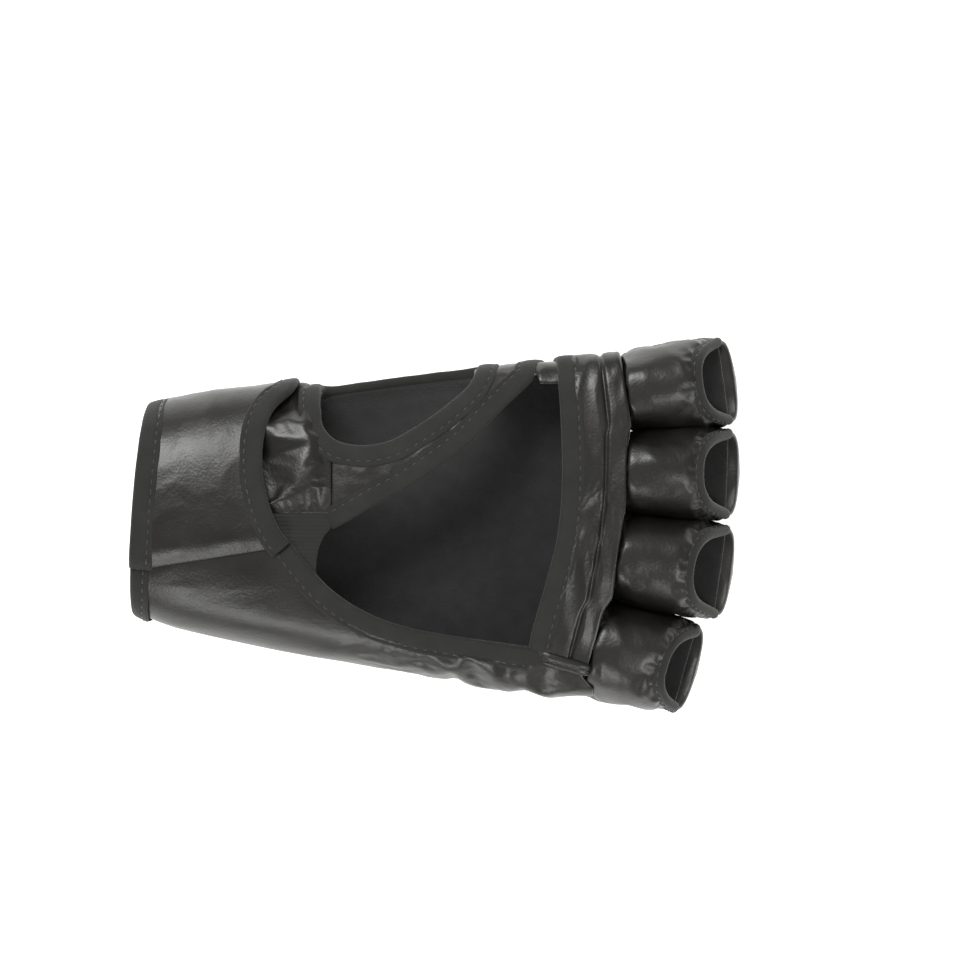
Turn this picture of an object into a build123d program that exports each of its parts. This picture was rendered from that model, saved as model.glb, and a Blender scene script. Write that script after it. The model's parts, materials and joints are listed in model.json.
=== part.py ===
from build123d import *

# Open-palm grappling glove for a left hand, in its worn shape, lying on its padded back.
#
# Millimetres. +X runs from the wrist to the fingertips, +Y to the thumb side and +Z out of the palm.
# The origin lies on the flat of the knuckle padding, on which the glove rests.
#
# The hand inside is a smooth form, given by sections along its length. Each panel is a layer between
# two offsets of that form, cut to the panel's outline in plan, so a panel follows the hand's size.
# Outlines are pairs (share of the body length, share of the half width at that place).

import os
from math import copysign, cos, hypot, pi, radians, sin


# Hand form
BODY_LENGTH = 165.0  # wrist edge to finger roots
WRIST_WIDTH = 58.4
KNUCKLE_WIDTH = 110.8
WRIST_SHIFT = 3.0  # the wrist's middle lies this far to the thumb side
KNUCKLE_SHIFT = -1.0
WIDENING = 0.72  # power of the widening from wrist to knuckles
PALM_RISE_WRIST = 20.0  # widest line up to the palm
PALM_RISE_ROOT = 12.0
BACK_DROP_WRIST = 18.0  # widest line down to the back of the hand
BACK_DROP_ROOT = 11.0
ROUNDNESS_WRIST = 2.4  # superellipse power of a section
ROUNDNESS_ROOT = 4.0
SECTION_POINTS = 24
STATIONS = (-0.05, 0.08, 0.19, 0.3, 0.41, 0.52, 0.62, 0.72, 0.82, 0.91, 1.06)

# Layers, counted outwards from the hand
LINING = 1.0
LEATHER = 1.6
BINDING_PROUD = 0.4  # how far the edge tape stands over the leather
BINDING_WIDTH = 6.4
WRIST_FOAM = 3.0
KNUCKLE_FOAM = 13.7
FOAM_RISE = (0.3, 0.8)  # where the back padding starts and stops growing
FOAM_JOIN = 0.62  # where the back foam meets the knuckle foam
SPLIT_HEIGHT = 20.0  # side seam between the back shell and the palm-side panels
REST_CUT = 0.6  # depth of the flat on the knuckles
REST_AT = 0.77  # the flat's middle, which is the origin
LOOP_PATCH = 0.6  # soft half of the touch fastener
STRAP_CLEAR = 0.2  # air between the soft half and the hooks
STRAP_LINING = 0.8
STRAP_LEATHER = 1.4
STRAP_BINDING_PROUD = 0.3
STRAP_LIFT = 0.1  # the strap's lowest point over the ground

# Wrist strap
STRAP_SEAM = ((0.061, -0.473), (0.255, -0.248))
STRAP_SEAM_GAP = 0.5
STRAP_TURN_HEIGHT = 14.0  # where the strap turns under the wrist
STRAP_TURN_GAP = 0.6
TAIL_END = ((0.020, -0.2), (0.285, -0.2))  # corners of the tail's free end
TAIL_CORNER = 9.0
TAIL_BINDING = 5.0
PATCH_CORNERS = ((0.075, 0.78), (0.245, -0.55))

# Fingers: share of the length, share of the half width and splay in degrees of each root
FINGERS = {
    "index": (0.988, 0.806, 8.0),
    "middle": (0.988, 0.356, -2.0),
    "ring": (0.970, -0.182, -8.0),
    "little": (0.921, -0.720, -16.0),
}
PAD_LENGTHS = {"index": 39.0, "middle": 40.0, "ring": 41.0, "little": 38.0}
FINGER_GAP = 1.2  # between neighbouring finger pads
ROOT_GAP = 1.4  # between the body and the finger pads
LOOP_ROOT_GAP = 0.4
PAD_MAX_WIDTH = 28.5
FINGER_FOAM = 14.0
PAD_TIP_RISE = 5.0  # how far the padding curls up at its tip
PAD_TIP_RADIUS = 9.0
LOOP_THICKNESS = 1.6
LOOP_LENGTH = 24.0  # palm side of a finger loop
LOOP_LEAN = 30.0  # slant of the loop's open end, which reaches furthest at the pad, in degrees
LOOP_FOOT_BACK = 4.0  # the loop's feet end this far before the pad's tip
LOOP_DROP = 2.0  # the loop is this much lower at the pad's end
LOOP_BINDING = 3.0
LOOP_ROUNDNESS = 2.3
LOOP_POINTS = 13
ROOT_BAND = 4.5  # strip of leather across the finger roots

# Outlines
FAR = 1.5  # a share of the half width that is well outside the form
WRIST_LINE = [(0.037, FAR), (0.030, 1.09), (0.0, -1.09), (-0.006, -FAR)]
FRONT_EDGE = [
    (0.335, FAR),
    (0.325, 1.08),
    (0.287, 0.93),
    (0.268, 0.66),
    (0.272, 0.28),
    (0.297, -0.04),
    (0.341, -0.29),
    (0.400, -0.53),
    (0.460, -0.665),
    (0.534, -0.745),
    (0.636, -0.775),
    (0.730, -0.785),
    (0.800, -0.795),
]
THUMB_EDGE = [
    (0.376, 0.90),
    (0.383, 0.72),
    (0.405, 0.620),
    (0.450, 0.558),
    (0.511, 0.568),
    (0.575, 0.673),
    (0.638, 0.815),
    (0.681, 0.940),
    (0.698, 1.060),
]
PALM_EDGE = [
    (0.405, -0.04),
    (0.424, 0.0),
    (0.490, 0.148),
    (0.553, 0.268),
    (0.617, 0.414),
    (0.681, 0.579),
    (0.732, 0.753),
    (0.787, 0.912),
    (0.815, 1.000),
]
BAR_EDGE = [
    (0.858, 0.906),
    (0.864, 0.507),
    (0.862, 0.107),
    (0.855, -0.060),
    (0.836, -0.311),
    (0.802, -0.720),
    (0.798, -0.800),
]
GUSSET_EDGE = [(0.400, -0.53), (0.376, -0.454), (0.375, -0.321), (0.390, -0.119), (0.405, -0.04)]
FRONT_LOW = (0.341, -0.29)  # from here on the front edge bounds the ulnar panel
ULNAR_SEAM = [(0.800, -0.795), (0.909, -0.850), (1.100, -0.940)]
OPENING_TOP = 0.93
GUSSET_TOP = 0.17

HIGH = 90.0
LOW = -30.0
WIDE = 400.0
SMALLEST_SOLID = 20.0  # cubic millimetres; less is a sliver of a cut


# The hand form


def half_width(u):
    """Half width of the form at a share u of the body length."""
    return (WRIST_WIDTH + (KNUCKLE_WIDTH - WRIST_WIDTH) * max(u, 0.0) ** WIDENING) / 2


def middle(u):
    """Where the form's middle lies across the hand."""
    return WRIST_SHIFT + (KNUCKLE_SHIFT - WRIST_SHIFT) * u


def palm_rise(u):
    return PALM_RISE_WRIST + (PALM_RISE_ROOT - PALM_RISE_WRIST) * u * u


def back_drop(u):
    return BACK_DROP_WRIST + (BACK_DROP_ROOT - BACK_DROP_WRIST) * u


def roundness(u):
    return ROUNDNESS_WRIST + (ROUNDNESS_ROOT - ROUNDNESS_WRIST) * u * u


def foam(u):
    """Thickness of the padding on the back of the hand."""
    start, stop = FOAM_RISE
    s = min(max((u - start) / (stop - start), 0.0), 1.0)
    return WRIST_FOAM + (KNUCKLE_FOAM - WRIST_FOAM) * s * s * (3 - 2 * s)


SHELL = LINING + LEATHER
TAPE = SHELL + BINDING_PROUD
STRAP_INNER = SHELL + LOOP_PATCH + STRAP_CLEAR
STRAP_MID = STRAP_INNER + STRAP_LINING
STRAP_OUTER = STRAP_MID + STRAP_LEATHER
STRAP_TAPE = STRAP_OUTER + STRAP_BINDING_PROUD
WRIST_HEIGHT = BACK_DROP_WRIST + WRIST_FOAM + STRAP_TAPE + STRAP_LIFT
REST_HEIGHT = back_drop(REST_AT) + foam(REST_AT) + SHELL - REST_CUT


def height(u):
    """Height of the form's widest line over the ground."""
    return WRIST_HEIGHT + (REST_HEIGHT - WRIST_HEIGHT) * u / REST_AT


def bulge(u, v):
    """Share of a section's full rise that is left at a share v of its half width."""
    return (1 - min(abs(v), 1.0) ** roundness(u)) ** (1 / roundness(u))


def ring(u, out, padded):
    """Points round the form, out beyond the hand, and round the back padding too if padded."""
    across = half_width(u) + out
    top = palm_rise(u) + out
    bottom = back_drop(u) + out + (foam(u) if padded else 0.0)
    power = 2 / roundness(u)
    points = []
    for k in range(SECTION_POINTS):
        turn = 2 * pi * k / SECTION_POINTS
        c, s = cos(turn), sin(turn)
        y = across * copysign(abs(c) ** power, c)
        z = (top if s > 0 else bottom) * copysign(abs(s) ** power, s)
        points.append((BODY_LENGTH * u, middle(u) + y, height(u) + z))
    return points


def skinned(rings):
    """Solid through rings of as many points each, with flat facets between them."""
    faces = [make_face(Polyline(*rings[0], close=True)), make_face(Polyline(*rings[-1], close=True))]
    count = len(rings[0])
    for one, two in zip(rings, rings[1:]):
        for k in range(count):
            after = (k + 1) % count
            faces.append(Face(Wire.make_polygon([one[k], one[after], two[after]])))
            faces.append(Face(Wire.make_polygon([one[k], two[after], two[k]])))
    return Solid(Shell(faces))


def form(out, padded=True):
    """Solid of the hand, out beyond its skin."""
    return skinned([ring(u, out, padded) for u in STATIONS])


def layer(inner, outer):
    """Tube of material between two offsets of the padded form."""
    return form(outer) - form(inner)


# Areas in plan, as upright prisms


def plan(u, v):
    """Place in plan of a pair of shares."""
    return (BODY_LENGTH * u, middle(u) + half_width(u) * v)


def line(pairs):
    return [plan(u, v) for u, v in pairs]


def prism(face, low=LOW, high=HIGH):
    return Pos(0, 0, low) * extrude(face, high - low, dir=(0, 0, 1))


def area(points):
    """Prism over the area inside a closed outline."""
    return prism(make_face(Polyline(*points, close=True)))


def toward(points, dx, dy, before=None, after=None):
    """Prism over everything on one side of a line, which before and after lengthen."""
    outline = [before, *points, after]
    outline = [point for point in outline if point]
    first, last = outline[0], outline[-1]
    return area([*outline, (last[0] + dx, last[1] + dy), (first[0] + dx, first[1] + dy)])


def beside(points, distance):
    """The points moved sideways by a distance, to the left of the way they run."""
    moved = []
    for k, (x, y) in enumerate(points):
        x0, y0 = points[max(k - 1, 0)]
        x1, y1 = points[min(k + 1, len(points) - 1)]
        along = hypot(x1 - x0, y1 - y0)
        moved.append((x - (y1 - y0) / along * distance, y + (x1 - x0) / along * distance))
    return moved


def strip(points, width):
    """Prism over a band of that width on the left of a line, or on its right if negative."""
    return area(points + beside(points, width)[::-1])


def slab(low, high):
    """All space between two heights."""
    return Pos(0, 0, (low + high) / 2) * Box(2 * WIDE, 2 * WIDE, high - low)


def solid_of(shape):
    """The shape without the slivers that a cut can leave."""
    kept = [s for s in shape.solids() if s.volume > SMALLEST_SOLID]
    return kept[0] if len(kept) == 1 else Compound(kept)


# Fingers


class Finger:
    """A finger's place: its root in plan, its splay and its heights."""

    def __init__(self, name):
        u, v, self.splay = FINGERS[name]
        self.name = name
        self.x, self.y = plan(u, v)
        self.length = PAD_LENGTHS[name]
        self.pad_top = height(u) - back_drop(u) * bulge(u, v)
        self.loop_top = height(u) + (palm_rise(u) + SHELL) * bulge(u, v)

    def at(self, along, across=0.0):
        """Point in plan, along and across the finger."""
        c, s = cos(radians(self.splay)), sin(radians(self.splay))
        return (self.x + along * c - across * s, self.y + along * s + across * c)

    def across_to(self, point):
        """How far a point in plan lies to the left of the finger's line."""
        c, s = cos(radians(self.splay)), sin(radians(self.splay))
        return -(point[0] - self.x) * s + (point[1] - self.y) * c

    def placed(self, shape):
        return Pos(self.x, self.y, 0) * Rot(0, 0, self.splay) * shape


def fingers():
    return [Finger(name) for name in FINGERS]


def half_room(finger, along):
    """Half the width that a finger pad may have at a place along it, between its neighbours."""
    row = fingers()
    k = list(FINGERS).index(finger.name)
    rooms = []
    for other in row[max(k - 1, 0) : k] + row[k + 1 : k + 2]:
        there = min(
            abs(finger.across_to(other.at(along))), abs(other.across_to(finger.at(along)))
        )
        rooms.append(there / 2 - FINGER_GAP / 2)
    return min(*rooms, PAD_MAX_WIDTH / 2)


def pad_plan(finger, shrink):
    """Outline of a finger pad in its own frame, with round tip corners."""
    start, end = ROOT_GAP + shrink, finger.length - shrink
    root = half_room(finger, ROOT_GAP) - shrink
    tip = half_room(finger, finger.length) - shrink
    face = make_face(Polyline((start, -root), (end, -tip), (end, tip), (start, root), close=True))
    corners = face.vertices().sort_by(Axis.X)[-2:]
    return fillet(corners, PAD_TIP_RADIUS - shrink)


def pad_curl(finger, along):
    """How far the pad has curled up at a place along the finger."""
    return PAD_TIP_RISE * (max(along, 0.0) / finger.length) ** 2


def curled_slab(finger, low, high):
    """Band between two heights, curling up towards the fingertip."""
    places = [-10.0, 0.0] + [finger.length * share for share in (0.3, 0.6, 0.9, 1.2)]
    lower = [(x, low + pad_curl(finger, x)) for x in places]
    upper = [(x, high + pad_curl(finger, x)) for x in places[::-1]]
    side = Rot(90, 0, 0) * make_face(Polyline(*lower, *upper, close=True))
    return extrude(side, PAD_MAX_WIDTH, both=True)


def pad_block(finger, low, high, shrink=0.0):
    return prism(pad_plan(finger, shrink)) & curled_slab(finger, low, high)


def finger_padding(finger):
    """Foam, leather cover and lining of one finger's padding."""
    top = finger.pad_top - LINING
    bottom = top - FINGER_FOAM
    core = pad_block(finger, bottom, top, LEATHER)
    cover = pad_block(finger, bottom - LEATHER, top) - core
    lining = pad_block(finger, top, finger.pad_top)
    return {"pad_foam": core, "pad_cover": cover, "pad_lining": lining}


def loop_ring(finger, along, shrink):
    """Arch over the finger, from one side of the pad to the other."""
    half = half_room(finger, max(along, ROOT_GAP)) - shrink
    foot = finger.pad_top - LEATHER
    rise = finger.loop_top - LOOP_DROP * along / finger.length - shrink - foot
    power = 2 / LOOP_ROUNDNESS
    arch = []
    for k in range(LOOP_POINTS):
        turn = pi * k / (LOOP_POINTS - 1)
        y = half * copysign(abs(cos(turn)) ** power, cos(turn))
        arch.append((along, y, foot + rise * sin(turn) ** power))
    return arch


def past_lean(finger, start):
    """Everything past the slanting plane of a loop's open end."""
    block = Box(WIDE, WIDE, WIDE, align=(Align.MIN, Align.CENTER, Align.CENTER))
    return Pos(start, 0, finger.loop_top) * Rot(0, -LOOP_LEAN, 0) * block


def finger_loop(finger):
    """Leather loop of one finger and the tape on its open end."""
    end = finger.length - LOOP_FOOT_BACK
    places = [LOOP_ROOT_GAP, end / 2, end]
    through = [LOOP_ROOT_GAP - 2, end / 2, end + 2]
    outer = skinned([loop_ring(finger, x, 0.0) for x in places])
    proud = skinned([loop_ring(finger, x, -BINDING_PROUD) for x in places])
    inner = skinned([loop_ring(finger, x, LOOP_THICKNESS) for x in through])
    away = inner + curled_slab(finger, LOW, finger.pad_top)
    taped = past_lean(finger, LOOP_LENGTH - LOOP_BINDING)
    leather = outer - away - taped
    tape = (proud - away - past_lean(finger, LOOP_LENGTH)) & taped
    return {"loop": leather, "loop_binding": tape}


def finger_roots():
    """Line in plan across all four finger roots, from the thumb side to the little finger."""
    points = []
    for finger in fingers():
        half = half_room(finger, 0.0) + FINGER_GAP / 4
        points += [finger.at(0, half), finger.at(0, -half)]
    first, last = fingers()[0], fingers()[-1]
    return [first.at(0, KNUCKLE_WIDTH / 2), *points, last.at(0, -KNUCKLE_WIDTH / 2)]


def behind_roots(back=0.0):
    """Prism over everything on the wrist side of the finger roots."""
    return toward([(x - back, y) for x, y in finger_roots()], -WIDE, 0)


# The areas that the body is cut into


def tail_plan():
    """Outline of the strap's tail, with round corners at its free end."""
    outline = [plan(*WRIST_LINE[0]), plan(*TAIL_END[0]), plan(*TAIL_END[1]), plan(*FRONT_EDGE[0])]
    face = make_face(Polyline(*outline, close=True))
    return fillet(face.vertices().sort_by(Axis.Y)[:2], TAIL_CORNER)


def areas():
    """Prisms over the areas of the body, by name."""
    wrist, front = line(WRIST_LINE), line(FRONT_EDGE)
    palm, bar, thumb = line(PALM_EDGE), line(BAR_EDGE), line(THUMB_EDGE)
    top = WIDE / 2
    seam = [plan(*pair) for pair in STRAP_SEAM]
    slope = (seam[1][1] - seam[0][1]) / (seam[1][0] - seam[0][0])

    def on_seam(x, over=0.0):
        return (x, seam[0][1] + slope * (x - seam[0][0]) + over)

    def over_seam(over):
        return toward([on_seam(-WIDE / 4, over), on_seam(WIDE / 2, over)], 0, WIDE)

    def thumb_area(edge):
        return area([(edge[0][0], top), *edge, (edge[-1][0], top)])

    def before_bar(edge):
        return toward(edge, -WIDE, 0, before=(edge[0][0], top), after=(edge[-1][0], -top))

    hole = thumb_area(thumb)
    bar_start = before_bar(bar)
    low_front = front[FRONT_EDGE.index(FRONT_LOW) :]
    ulnar = low_front + line(ULNAR_SEAM)[1:]
    gusset = line(GUSSET_EDGE)
    start = palm[0][0]
    tail = tail_plan()
    patch = [plan(*pair) for pair in PATCH_CORNERS]
    return {
        "arm": toward(wrist, -WIDE, 0),
        "wrist_strip": strip(wrist, BINDING_WIDTH),
        "thumb_hole": hole,
        "thumb_strip": thumb_area(beside(thumb, -BINDING_WIDTH)) - hole,
        "under_palm_edge": toward(palm, WIDE, 0, before=(start, -top), after=(palm[-1][0], top)),
        "palm_strip": strip(palm, BINDING_WIDTH),
        "before_bar": bar_start,
        "bar_strip": before_bar(beside(bar, BINDING_WIDTH)) - bar_start,
        "before_front": toward(front, -WIDE, 0, after=(front[-1][0], -top)),
        "front_strip": strip(front, -BINDING_WIDTH),
        "over_ulnar": toward(ulnar, 0, WIDE, before=on_seam(low_front[0][0] - 1.0)),
        "over_seam": over_seam(0.0),
        "over_strap_seam": over_seam(STRAP_SEAM_GAP),
        "past_gusset": toward(gusset, WIDE, 0, before=(gusset[0][0], -top), after=(start, top)),
        "over_gusset": toward([plan(-0.1, GUSSET_TOP), plan(0.5, GUSSET_TOP)], 0, WIDE),
        "before_palm_edge": toward([(start, -top), (start, top)], -WIDE, 0),
        "under_closing": toward([plan(0.0, OPENING_TOP), plan(1.2, OPENING_TOP)], 0, -WIDE),
        "tail": prism(tail),
        "tail_middle": prism(offset(tail, -TAIL_BINDING)),
        "patch": area([patch[0], (patch[1][0], patch[0][1]), patch[1], (patch[0][0], patch[1][1])]),
    }


# The sub-parts


def body_panels(a):
    """Shells, paddings and tapes of the body, which the strap and the fingers join."""
    above, below = slab(SPLIT_HEIGHT, HIGH), slab(0.0, SPLIT_HEIGHT)
    foam_join = plan(FOAM_JOIN, 0)[0]
    behind_join = toward([(foam_join, -WIDE / 2), (foam_join, WIDE / 2)], -WIDE, 0)
    roots = behind_roots()
    body = roots - a["arm"] - a["wrist_strip"]
    leather = layer(LINING, SHELL) & body
    lining = (form(LINING, False) - form(0.0, False)) & body
    padding = ((form(LINING) & below) - form(LINING, False)) & body
    tape = form(TAPE) - form(0.0, False)

    hole = a["thumb_hole"] + a["thumb_strip"]
    hole_rim = a["thumb_strip"] & above
    hole_rim += hole & slab(SPLIT_HEIGHT - BINDING_WIDTH, SPLIT_HEIGHT)
    root_band = roots - behind_roots(ROOT_BAND)

    ulnar = above - a["over_seam"] - a["over_ulnar"]
    radial = (above & a["over_gusset"] & a["before_palm_edge"]) - hole - a["palm_strip"]
    tab = above & (a["over_seam"] + a["over_ulnar"])
    tab = tab - a["over_gusset"] - a["past_gusset"] - a["palm_strip"]
    crossing = (above & a["before_bar"]) - a["before_palm_edge"] - hole
    crossing = crossing - (a["under_palm_edge"] & a["under_closing"])
    bar = (above & a["over_ulnar"]) - a["before_bar"] - a["bar_strip"]
    back = below - hole_rim
    return {
        "back_shell": leather & back,
        "back_lining": lining & back,
        "back_foam": (padding & behind_join) - hole_rim,
        "knuckle_foam": padding - behind_join - hole_rim,
        "ulnar_panel": leather & ulnar - a["front_strip"],
        "ulnar_lining": lining & ulnar - a["front_strip"],
        "ulnar_edge_binding": tape & (ulnar & a["front_strip"]),
        "radial_panel": leather & radial,
        "radial_lining": lining & radial,
        "wrist_gusset": leather & tab,
        "thumb_strap": leather & crossing - a["palm_strip"],
        "thumb_strap_lining": lining & crossing - a["palm_strip"],
        "palm_edge_binding": tape & (above & a["palm_strip"]) - hole,
        "thumb_hole_binding": tape & hole_rim,
        "palm_bar": leather & bar - root_band,
        "palm_bar_lining": lining & bar,
        "palm_bar_binding": tape & (above & a["bar_strip"] & a["over_ulnar"]),
        "finger_root_band": leather & (bar & root_band),
        "wrist_binding": tape & a["wrist_strip"],
        "loop_patch": layer(SHELL, SHELL + LOOP_PATCH) & (slab(0.0, STRAP_TURN_HEIGHT) & a["patch"]),
    }


def strap_panels(a):
    """The wrist strap, from its seam on the palm side to where it turns under the wrist."""
    panel = slab(STRAP_TURN_HEIGHT, HIGH) & a["over_strap_seam"] & a["before_front"]
    panel = panel - a["arm"]
    middle_part = panel - a["front_strip"] - a["wrist_strip"]
    tape = layer(STRAP_INNER, STRAP_TAPE)
    return {
        "strap_cover": layer(STRAP_MID, STRAP_OUTER) & middle_part,
        "strap_lining": layer(STRAP_INNER, STRAP_MID) & middle_part,
        "strap_palm_binding": tape & (panel & a["front_strip"]),
        "strap_wrist_binding": tape & (panel & a["wrist_strip"]),
    }


def tail_panels(a):
    """The strap's tail, which goes under the wrist and fastens to the soft patch."""
    low = slab(0.0, STRAP_TURN_HEIGHT - STRAP_TURN_GAP)
    whole, middle_part = low & a["tail"], low & a["tail_middle"]
    return {
        "tail_cover": layer(STRAP_MID, STRAP_OUTER) & middle_part,
        "tail_hook_patch": layer(STRAP_INNER, STRAP_MID) & middle_part,
        "tail_binding": layer(STRAP_INNER, STRAP_TAPE) & (whole - middle_part),
    }


def finger_parts(finger):
    """The padding and the loop of one finger, in the glove's frame."""
    found = {**finger_padding(finger), **finger_loop(finger)}
    return {f"{finger.name}_{name}": finger.placed(shape) for name, shape in found.items()}


def build():
    """All sub-parts, by node name, with the origin on the knuckle flat."""
    a = areas()
    parts = {**body_panels(a), **strap_panels(a), **tail_panels(a)}
    for finger in fingers():
        parts.update(finger_parts(finger))
    to_origin = Pos(-REST_AT * BODY_LENGTH, 0, 0)
    return {name: to_origin * solid_of(shape) for name, shape in parts.items()}


if __name__ == "__main__":
    os.makedirs("parts", exist_ok=True)
    for node, shape in build().items():
        export_step(shape, f"parts/{node}.step")
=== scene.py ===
"""Looks of the open-palm grappling glove: synthetic leather panels, folded edge tape, padding and thread.

Every soft piece is a curved sheet laid on the hand's form, a few tenths of a millimetre deep in creases,
given its thickness and rounded by subdivision. Lengths are millimetres until a mesh is made.
"""

import json

from math import cos, pi, radians, sin

import bpy
import numpy as np
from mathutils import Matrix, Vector, noise

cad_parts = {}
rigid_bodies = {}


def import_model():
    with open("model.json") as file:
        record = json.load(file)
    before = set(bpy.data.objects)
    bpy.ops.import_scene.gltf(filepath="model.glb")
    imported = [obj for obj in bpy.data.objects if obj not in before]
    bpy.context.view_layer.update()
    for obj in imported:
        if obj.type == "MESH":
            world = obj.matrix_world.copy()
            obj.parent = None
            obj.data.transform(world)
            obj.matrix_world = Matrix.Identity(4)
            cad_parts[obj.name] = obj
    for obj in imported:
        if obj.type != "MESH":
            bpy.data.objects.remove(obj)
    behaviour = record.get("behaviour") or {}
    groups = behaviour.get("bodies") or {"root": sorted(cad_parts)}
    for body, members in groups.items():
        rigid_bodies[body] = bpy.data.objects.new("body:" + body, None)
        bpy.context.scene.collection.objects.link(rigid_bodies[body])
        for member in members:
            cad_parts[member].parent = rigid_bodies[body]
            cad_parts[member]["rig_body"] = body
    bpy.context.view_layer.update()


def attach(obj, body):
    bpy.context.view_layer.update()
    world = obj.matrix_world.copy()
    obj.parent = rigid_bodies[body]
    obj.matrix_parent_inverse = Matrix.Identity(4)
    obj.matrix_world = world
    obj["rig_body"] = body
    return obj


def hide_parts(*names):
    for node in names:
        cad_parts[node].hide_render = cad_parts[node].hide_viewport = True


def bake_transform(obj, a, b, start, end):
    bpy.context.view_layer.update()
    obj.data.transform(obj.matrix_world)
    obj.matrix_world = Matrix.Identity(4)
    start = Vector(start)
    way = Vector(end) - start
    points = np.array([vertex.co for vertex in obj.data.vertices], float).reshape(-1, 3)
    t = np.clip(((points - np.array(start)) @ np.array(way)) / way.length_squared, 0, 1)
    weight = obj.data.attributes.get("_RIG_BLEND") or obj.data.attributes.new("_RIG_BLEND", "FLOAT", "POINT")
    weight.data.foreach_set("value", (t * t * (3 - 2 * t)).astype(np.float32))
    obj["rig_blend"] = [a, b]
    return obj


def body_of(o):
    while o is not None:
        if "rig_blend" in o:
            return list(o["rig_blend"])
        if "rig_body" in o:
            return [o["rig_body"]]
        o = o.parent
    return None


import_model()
MM = 0.001

# -------------------- the hand's form, as the frame has it
BODY_LENGTH = 165.0
ORIGIN = 0.77 * BODY_LENGTH  # the knuckle flat's place from the wrist edge
WRIST_WIDTH, KNUCKLE_WIDTH, WIDENING = 58.4, 110.8, 0.72
WRIST_SHIFT, KNUCKLE_SHIFT = 3.0, -1.0
LINING, SHELL = 1.0, 2.6  # outer faces over the hand's form: of the lining, of the leather
STRAP_INNER, STRAP_MID, STRAP_OUTER = 3.4, 4.2, 5.6
WRIST_HEIGHT, REST_HEIGHT = 27.0, 28.2
SPLIT_HEIGHT = 20.0
TAPE_WIDTH = 6.4
FAR = 1.5  # share of the half width that lies past the form's side

# -------------------- sizes of the sewn pieces
LEATHER_WALL, LINING_WALL = 1.6, 1.0
TAPE_STEP, THREAD_INSET = 1.6, 1.75  # between a tape's rings, and from its free edge to its stitches
WIDE_TAPE, NARROW_TAPE = TAPE_WIDTH + 0.4, 3.6
ROOT_MARGIN = 0.6  # from the body panels' ends to the line of the finger roots
STRAP_SINK, STRAP_OVERLAP = 1.6, 0.9  # the strap's end sinks, and runs past its seam on the palm
PALM_TAPE_END, BAR_TAPE_END = 137.0, 140.0  # where two tapes meet the side seam
LEAST_HEIGHT = 0.05  # nothing goes below the floor

WRIST_EDGE = [(0.037, FAR), (0.030, 1.09), (0.0, -1.09), (-0.006, -FAR)]
FRONT_EDGE = [
    (0.335, FAR), (0.325, 1.08), (0.287, 0.93), (0.268, 0.66), (0.272, 0.28), (0.297, -0.04),
    (0.341, -0.29), (0.400, -0.53), (0.460, -0.665), (0.534, -0.745), (0.636, -0.775),
    (0.730, -0.785), (0.800, -0.795),
]
THUMB_EDGE = [
    (0.376, 0.90), (0.383, 0.72), (0.405, 0.620), (0.450, 0.558), (0.511, 0.568),
    (0.575, 0.673), (0.638, 0.815), (0.681, 0.940), (0.698, 1.060),
]
PALM_EDGE = [
    (0.405, -0.04), (0.424, 0.0), (0.490, 0.148), (0.553, 0.268), (0.617, 0.414),
    (0.681, 0.579), (0.732, 0.753), (0.787, 0.912), (0.815, 1.000),
]
BAR_EDGE = [
    (0.858, 0.906), (0.864, 0.507), (0.862, 0.107), (0.855, -0.060), (0.836, -0.311),
    (0.802, -0.720), (0.798, -0.800),
]
ULNAR_SEAM = [(0.800, -0.795), (0.909, -0.850), (1.100, -0.940)]
GUSSET_EDGE = [
    (0.405, 0.18), (0.405, -0.04), (0.390, -0.119), (0.375, -0.321), (0.376, -0.454), (0.400, -0.53),
]
STRAP_SEAM = [(0.061, -0.473), (0.255, -0.248)]
TAIL_END = [(0.020, -0.2), (0.285, -0.2)]

# Root (share of length, share of half width), splay in degrees, length
FINGERS = {
    "index": (0.988, 0.806, 8.0, 39.0),
    "middle": (0.988, 0.356, -2.0, 40.0),
    "ring": (0.970, -0.182, -8.0, 41.0),
    "little": (0.921, -0.720, -16.0, 38.0),
}


def half_width(u):
    """Half of the form's width at u, a share of the body's length; the six after it take the same."""
    return (WRIST_WIDTH + (KNUCKLE_WIDTH - WRIST_WIDTH) * np.maximum(u, 0.0) ** WIDENING) / 2


def middle(u):
    return WRIST_SHIFT + (KNUCKLE_SHIFT - WRIST_SHIFT) * u


def palm_rise(u):
    return 20.0 - 8.0 * u * u


def back_drop(u):
    return 18.0 - 7.0 * u


def roundness(u):
    return 2.4 + 1.6 * u * u


def foam(u):
    s = np.clip((u - 0.3) / 0.5, 0.0, 1.0)
    return 3.0 + 10.7 * s * s * (3 - 2 * s)


def height(u):
    return WRIST_HEIGHT + (REST_HEIGHT - WRIST_HEIGHT) * u / 0.77


def ease(share):
    """A share kept between 0 and 1, starting and ending softly."""
    share = np.clip(share, 0, 1)
    return share * share * (3 - 2 * share)


def unit(vectors):
    return vectors / np.linalg.norm(vectors, axis=-1, keepdims=True)


def form_point(x, turn, out, padded=1.0):
    """Points on the form: x from the wrist edge, turn round the section from the thumb side over the palm.

    padded is the share of the back padding that the form includes.
    """
    u = x / BODY_LENGTH
    across = half_width(u) + out
    c, s = np.cos(turn), np.sin(turn)
    depth = np.where(s > 0, palm_rise(u), back_drop(u) + foam(u) * padded) + out
    n = roundness(u)
    r = (np.abs(c / across) ** n + np.abs(s / depth) ** n) ** (-1 / n)
    return np.stack([x - ORIGIN, middle(u) + r * c, height(u) + r * s], -1)


def form_normal(x, turn, out, padded=1.0):
    """Outward direction there."""
    along = form_point(x + 0.5, turn, out, padded) - form_point(x - 0.5, turn, out, padded)
    around = form_point(x, turn + 0.01, out, padded) - form_point(x, turn - 0.01, out, padded)
    return unit(np.cross(around, along))


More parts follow.
